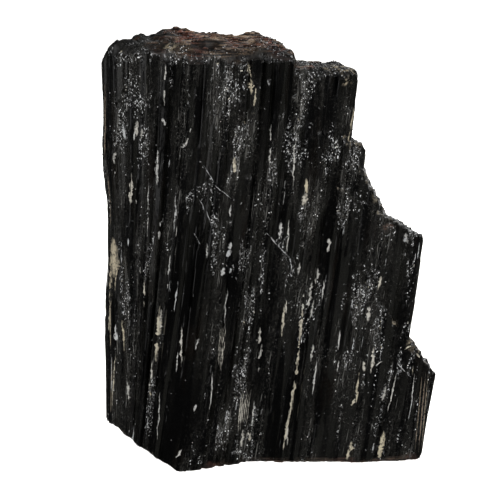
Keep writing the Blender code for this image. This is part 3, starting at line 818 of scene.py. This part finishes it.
def sliver(top, foot, facing, width, tone, seed):
    # a thin ragged seam laid on the stone from `top` to `foot`, seen from `facing`, broken off here and there
    length = (foot - top).length
    bm = bmesh.new()
    steps = max(4, round(length / seams["step"]))
    bmesh.ops.create_grid(bm, x_segments=max(4, round(width / seams["step"])), y_segments=steps, size=0.5)
    across = facing.cross(Vector((0, 0, 1))).normalized()
    core = bm.verts.layers.float.new("core")
    lost = []
    for vert in bm.verts:
        side, share = vert.co.x * 2, vert.co.y + 0.5
        walked = share * length
        ragged = 1.0
        for size, depth in zip(seams["edgeSize"], seams["edgeDepth"]):
            ragged += min(2.0, 2.4 / width) * depth * noise.noise(Vector((walked / size, seed, 9 if side > 0 else 3)))
        whole = noise.noise(Vector((walked / seams["gapSize"], seed, 5))) - seams["gapStart"]
        if length < seams["shortest"] or tone > 1.4:
            whole = 1.0
        ragged *= smoothStep(whole / seams["gapEase"])
        taper = math.sin(math.pi * min(max(share, 0.01), 0.99)) ** 0.45
        half = width / 2 * taper * max(0.1, ragged)
        vert[core] = (1 - side * side) * taper
        swing = seams["drift"] * noise.noise(Vector((walked / seams["driftSize"], seed, 7))) * (tone < 1.4)
        spot = top.lerp(foot, share) + across * (side * half + swing)
        place, _ = castFrom(spot + facing * 4, -facing, 9)
        if whole < 0 or place is None or abs((place - spot).dot(facing)) > seams["tallestStep"]:
            lost.append(vert)
            continue
        vert.co = place + facing * (seams["lift"] if abs(side) < 0.9 else -seams["sink"])
    bmesh.ops.delete(bm, geom=lost, context="VERTS")
    bmesh.ops.delete(bm, geom=[vert for vert in bm.verts if not vert.link_faces], context="VERTS")
    bmesh.ops.recalc_face_normals(bm, faces=bm.faces)
    turned = [face for face in bm.faces if face.normal.dot(facing) < 0]
    bmesh.ops.reverse_faces(bm, faces=turned)
    bmesh.ops.solidify(bm, geom=bm.faces[:], thickness=seams["thickness"])
    shade = bm.verts.layers.float.new("tone")
    for vert in bm.verts:
        vert[shade] = tone
    return bm


def seamAt(top, foot, facing, width, tone, seed):
    # a narrow or cream seam is one sliver, a wide grey one a bundle of thin strands
    if tone < 0.72:
        width *= seams["widen"]
    if width < seams["strandWidth"] * 2 or (foot - top).length < seams["bundled"] or tone > seams["solidTone"]:
        return [sliver(top, foot, facing, width, tone, seed)]
    pick = random.Random(seed)
    count = round(width / seams["strandWidth"]) + 1
    across = facing.cross(Vector((0, 0, 1))).normalized()
    strands = []
    for number in range(count):
        shift = across * width * (number / (count - 1) - 0.5)
        start, end = pick.uniform(0, 0.3), pick.uniform(0.7, 1)
        strands.append(sliver(top.lerp(foot, start) + shift, top.lerp(foot, end) + shift, facing,
                              pick.uniform(0.5, 1.1) * seams["strandWidth"], tone, seed + 0.1 * number))
    return strands


def joinedMesh(name, bms):
    whole = bmesh.new()
    for bm in bms:
        mesh = bpy.data.meshes.new("part")
        bm.to_mesh(mesh)
        bm.free()
        whole.from_mesh(mesh)
        bpy.data.meshes.remove(mesh)
    bmesh.ops.triangulate(whole, faces=whole.faces)
    bmesh.ops.scale(whole, vec=(mm, mm, mm), verts=whole.verts)
    return meshObject(name, whole)


def feldspar():
    # weathered feldspar and mica: dull grey to cream, dirty in patches, streaked with schorl at its edges; on the seams
    # the grey is partly a painted highlight
    material = bpy.data.materials.new("weatheredFeldspar")
    material.use_nodes = True
    tree = material.node_tree
    shader = tree.nodes["Principled BSDF"]
    place = addNode(tree, "ShaderNodeTexCoord").outputs["Object"]
    tone = addNode(tree, "ShaderNodeAttribute", {"attribute_name": "tone"}).outputs["Fac"]
    clean = addNode(tree, "ShaderNodeMix",
                    {"data_type": "RGBA", 6: linear(seams["grey"]), 7: linear(seams["cream"])}, {0: tone})
    past = addNode(tree, "ShaderNodeMath", {"operation": "SUBTRACT", "use_clamp": True, 1: 1.0}, {0: tone})
    clean = addNode(tree, "ShaderNodeMix", {"data_type": "RGBA", 7: linear(seams["ochre"])},
                    {0: past.outputs["Value"], 6: clean.outputs[2]})
    dirt = addNode(tree, "ShaderNodeTexNoise", {"Scale": 1 / (0.7 * mm), "Detail": 5}, {"Vector": place})
    mask = addNode(tree, "ShaderNodeMapRange", {"From Min": 0.48, "From Max": 0.7}, {"Value": dirt.outputs["Fac"]})
    dirty = addNode(tree, "ShaderNodeMix", {"data_type": "RGBA", 7: linear(seams["stain"])},
                    {0: mask.outputs["Result"], 6: clean.outputs[2]})
    core = addNode(tree, "ShaderNodeAttribute", {"attribute_name": "core"}).outputs["Fac"]
    width, length = seams["streakSize"]
    space = addNode(tree, "ShaderNodeMapping", {"Scale": (1 / width / mm, 1 / width / mm, 1 / length / mm)},
                    {"Vector": place})
    streak = addNode(tree, "ShaderNodeTexNoise", {"Scale": 1, "Detail": 3}, {"Vector": space.outputs["Vector"]})
    whole = addNode(tree, "ShaderNodeMath", {"operation": "MULTIPLY_ADD", 1: seams["coreShare"]},
                    {0: core, 2: streak.outputs["Fac"]})
    solid = addNode(tree, "ShaderNodeMapRange", {"From Min": seams["streaks"][0], "From Max": seams["streaks"][1]},
                    {"Value": whole.outputs["Value"]})
    streaked = addNode(tree, "ShaderNodeMix", {"data_type": "RGBA", 6: linear(seams["black"])},
                       {0: solid.outputs["Result"], 7: dirty.outputs[2]})
    tree.links.new(streaked.outputs[2], shader.inputs["Base Color"])
    shader.inputs["Roughness"].default_value = seams["roughness"]
    return material


def buildSeams():
    slivers = []
    for number, (topX, topZ, footX, footZ, width, tone) in enumerate(seams["slivers"]):
        # a seam by an edge wraps round it
        facing = Vector((-0.6, -0.8, 0)) if topX < -37 else Vector((0, -1, 0))
        if topX > 21 and topZ > 88:
            facing = Vector((0.6, -0.8, 0))
        top, _ = castFrom(Vector((topX, -60, topZ)), Vector((0, 1, 0)))
        foot, _ = castFrom(Vector((footX, -60, footZ)), Vector((0, 1, 0)))
        if top is not None and foot is not None:
            slivers += seamAt(top, foot, facing, width, tone, number)
    pick = random.Random(5)
    for number in range(seams["randomCount"]):
        turn = pick.uniform(0, math.tau)
        outward = Vector((math.cos(turn), math.sin(turn), 0))
        middle = Vector((pick.uniform(-35, 30), 0, pick.uniform(6, 100)))
        length, width = pick.triangular(*seams["randomLength"], 2), pick.triangular(*seams["randomWidth"], 0.25)
        if noise.noise(outward * 1.6 + Vector((0, 0, middle.z / 22))) < pick.uniform(-0.45, 0.35):
            continue
        top, normal = castFrom(middle + outward * 90, -outward)
        front = outward.y < -0.3 or (normal is not None and normal.y < -0.5)
        if top is None or abs(normal.z) > 0.4 or (front and number % 7):
            continue
        foot = leaned(upright(top) - Vector((0, 0, length)))
        facing = Vector((normal.x, normal.y, 0)).normalized()
        if front:
            width *= 0.5
        slivers.append(sliver(top, foot, facing, width, pick.random() ** 3, number + 100))
    piece = joinedMesh("seamsAndPaintedHighlights", slivers)
    piece.data.materials.append(feldspar())
    piece.data.shade_smooth()
    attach(piece, "root")
    print("feldspar seams:", len(slivers), "with", len(piece.data.polygons), "triangles")


buildSeams()


# Splinters and grains in the broken bands: most lie along the ribs, most are black, a few pale.
grains = {
    "width": (0.12, 0.3), "stretch": (1.0, 3.6), "flat": (0.5, 1.0), "lean": 0.45, "looseShare": 0.35,
    "out": (-0.1, 0.05), "paleShare": 0.08, "batch": 150,
    "black": "#050505", "grey": "#1b1a18", "roughness": 0.2,
}


def grainBatch(batch, pick):
    bm = bmesh.new()
    for place, normal, _ in batch:
        width = pick.uniform(*grains["width"])
        lean = math.pi if pick.random() < grains["looseShare"] else grains["lean"]
        turn = Euler((pick.gauss(0, lean), pick.gauss(0, lean), pick.uniform(0, math.tau))).to_matrix().to_4x4()
        length = width * pick.uniform(*grains["stretch"])
        size = Matrix.Diagonal((width, width * pick.uniform(*grains["flat"]), length, 1))
        where = Matrix.Translation(place + normal * pick.uniform(*grains["out"]))
        bmesh.ops.create_cube(bm, size=1, matrix=where @ turn @ size)
    shade = bm.verts.layers.float.new("tone")
    core = bm.verts.layers.float.new("core")
    for number, vert in enumerate(bm.verts):
        vert[shade] = random.Random(number // 8).random()
        vert[core] = 1.0
    return bm


def brokenSchorl():
    # fresh broken schorl: black glassy grains, some greyer
    material = bpy.data.materials.new("brokenSchorl")
    material.use_nodes = True
    tree = material.node_tree
    shader = tree.nodes["Principled BSDF"]
    shader.inputs["IOR"].default_value = schorlFinish["ior"]
    shader.inputs["Roughness"].default_value = grains["roughness"]
    tone = addNode(tree, "ShaderNodeAttribute", {"attribute_name": "tone"}).outputs["Fac"]
    mixed = addNode(tree, "ShaderNodeMix",
                    {"data_type": "RGBA", 6: linear(grains["black"]), 7: linear(grains["grey"])}, {0: tone})
    tree.links.new(mixed.outputs[2], shader.inputs["Base Color"])
    return material


def buildGrains():
    pick = random.Random(8)
    kinds = {"schorlGrains": ([], brokenSchorl()), "feldsparGrains": ([], feldspar())}
    for site in sites:
        kinds["feldsparGrains" if pick.random() < grains["paleShare"] else "schorlGrains"][0].append(site)
    for name, (chosen, material) in kinds.items():
        count = grains["batch"]
        batches = [grainBatch(chosen[start:start + count], pick) for start in range(0, len(chosen), count)]
        piece = joinedMesh(name, batches)
        piece.data.materials.append(material)
        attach(piece, "root")
        print(name + ":", len(chosen), "grains")


buildGrains()


# The studio: a pale floor, soft lights all round and a long lens a little above the stone.
studio = {
    "aim": (-5.3, 0, 56), "elevation": 12, "distance": 560, "lens": 149,
    "lights": [  # place in mm, size in mm, watts
        ((-420, -480, 520), 200, 1.6),
        ((520, -260, 260), 180, 0.85),
        ((80, -560, 540), 150, 0.65),
        ((-520, -160, 120), 300, 0.15),
        ((120, 520, 420), 400, 2.4),
    ],
    "sky": 0.8, "skyWidth": 60,  # the big soft light overhead, in W/m2 and degrees
    "floorColour": "#f4f3f1", "floorGlow": 1.22, "around": 0.022,
}


def lookAt(obj, spot):
    obj.rotation_euler = (spot - obj.location).to_track_quat("-Z", "Y").to_euler()


def buildStudio():
    scene = bpy.context.scene
    aim = Vector(studio["aim"]) * mm
    camera = bpy.data.objects.new("camera", bpy.data.cameras.new("camera"))
    scene.collection.objects.link(camera)
    camera.data.lens = studio["lens"]
    camera.data.clip_start = 0.01
    rise = math.radians(studio["elevation"])
    camera.location = aim + Vector((0, -math.cos(rise), math.sin(rise))) * studio["distance"] * mm
    lookAt(camera, aim)
    scene.camera = camera
    for number, (place, size, watts) in enumerate(studio["lights"]):
        lamp = bpy.data.lights.new(f"softbox{number}", "AREA")
        lamp.size = size * mm
        lamp.energy = watts
        light = bpy.data.objects.new(f"softbox{number}", lamp)
        scene.collection.objects.link(light)
        light.location = Vector(place) * mm
        lookAt(light, aim)
    sky = bpy.data.lights.new("overhead", "SUN")
    sky.energy = studio["sky"]
    sky.angle = math.radians(studio["skyWidth"])
    scene.collection.objects.link(bpy.data.objects.new("overhead", sky))
    bm = bmesh.new()
    bmesh.ops.create_grid(bm, x_segments=1, y_segments=1, size=30)
    floor = meshObject("floor", bm)
    paper = bpy.data.materials.new("whitePaper")
    paper.use_nodes = True
    sheet = paper.node_tree.nodes["Principled BSDF"]
    sheet.inputs["Base Color"].default_value = linear(studio["floorColour"])
    sheet.inputs["Roughness"].default_value = 0.9
    sheet.inputs["Emission Color"].default_value = linear(studio["floorColour"])
    sheet.inputs["Emission Strength"].default_value = studio["floorGlow"]
    floor.data.materials.append(paper)
    floor.visible_glossy = False
    world = bpy.data.worlds.new("studio")
    world.use_nodes = True
    scene.world = world
    background = world.node_tree.nodes["Background"]
    path = addNode(world.node_tree, "ShaderNodeLightPath")
    level = addNode(world.node_tree, "ShaderNodeMapRange", {"To Min": studio["around"], "To Max": 1.0},
                    {"Value": path.outputs["Is Camera Ray"]})
    world.node_tree.links.new(level.outputs["Result"], background.inputs["Strength"])
    background.inputs["Color"].default_value = (1, 1, 1, 1)
    scene.view_settings.view_transform = "Standard"
    print("studio ready")


buildStudio()
